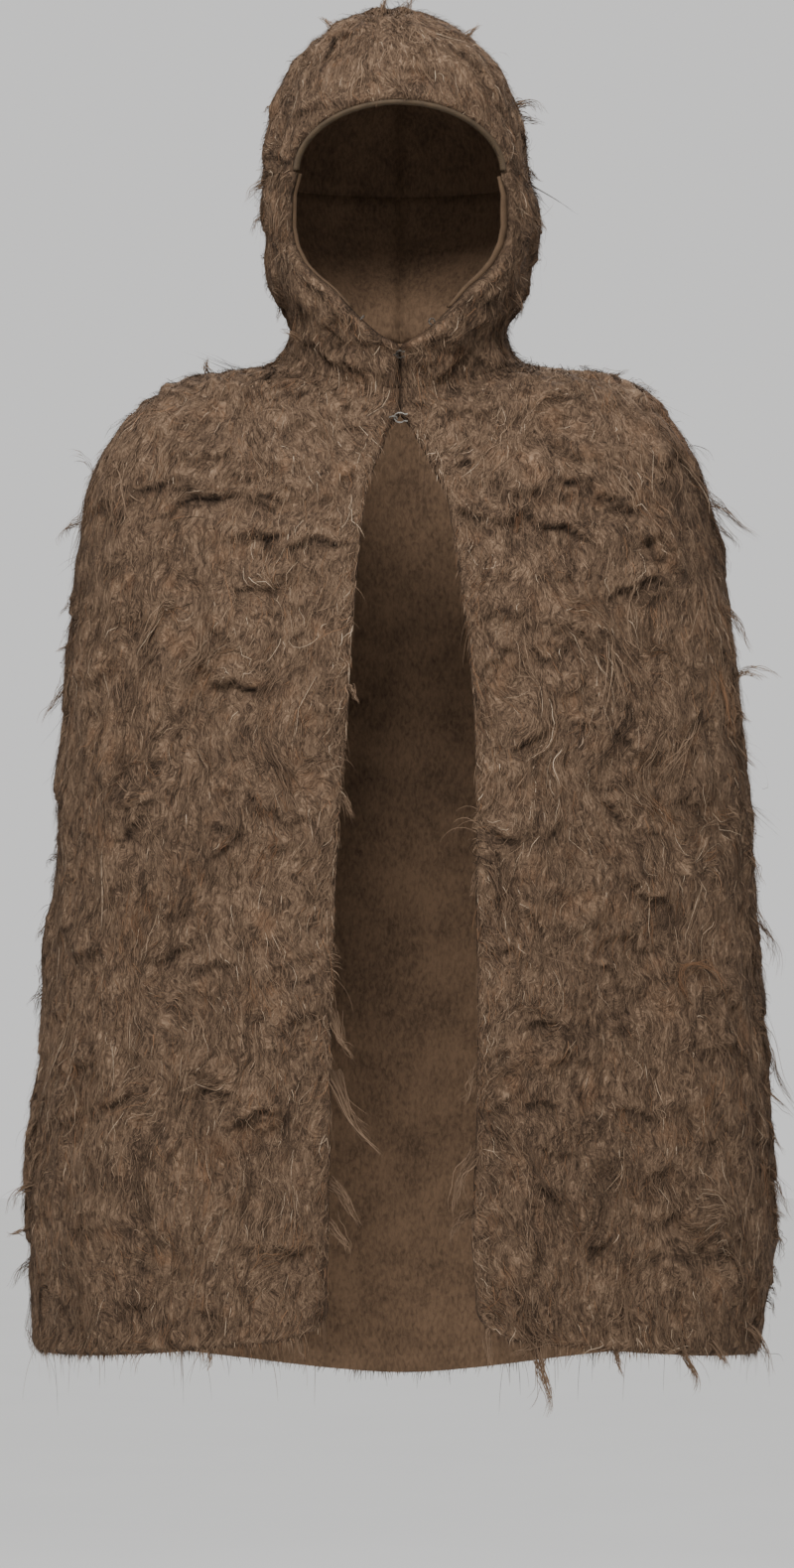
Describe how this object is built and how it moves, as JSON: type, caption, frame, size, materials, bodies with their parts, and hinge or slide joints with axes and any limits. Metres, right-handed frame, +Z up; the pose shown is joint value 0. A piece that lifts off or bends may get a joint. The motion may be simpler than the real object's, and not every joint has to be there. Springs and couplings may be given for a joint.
{
  "type": "hooded cape jacket",
  "caption": "Sleeveless hooded cape of shaggy brown wool, closed at the neck on hooks and eyes, with fronts that part below and fall to the thigh, in its worn hollow form.",
  "frame": {"origin": "centre of the neck base, between the shoulders, where the wearer's neck and shoulders carry the cape", "axes": "+Z up along the worn cape, -Y out of its front, +X towards the wearer's left"},
  "size_m": [0.5641, 0.3749, 1.0359],
  "materials": {
    "shaggy_wool": "long matted brushed pile, dull",
    "hood_wool": "long matted brushed pile, dull",
    "binding": "smooth narrow woven tape",
    "facing": "smooth woven cloth",
    "nickel": "polished nickel wire",
    "dark_metal": "dark lacquered wire"
  },
  "bodies": {
    "root": {"cape_front_right": "shaggy_wool", "cape_front_left": "shaggy_wool", "cape_back": "shaggy_wool", "hood_side_right": "hood_wool", "hood_side_left": "hood_wool", "hood_crown_right": "hood_wool", "hood_crown_left": "hood_wool", "hood_binding": "binding", "hood_facing_right": "facing", "hood_facing_left": "facing", "neck_eye": "nickel", "neck_hook": "nickel", "chin_hook": "nickel", "chin_eye": "nickel", "collar_eye": "dark_metal", "collar_hook": "dark_metal"}
  },
  "joints": []
}
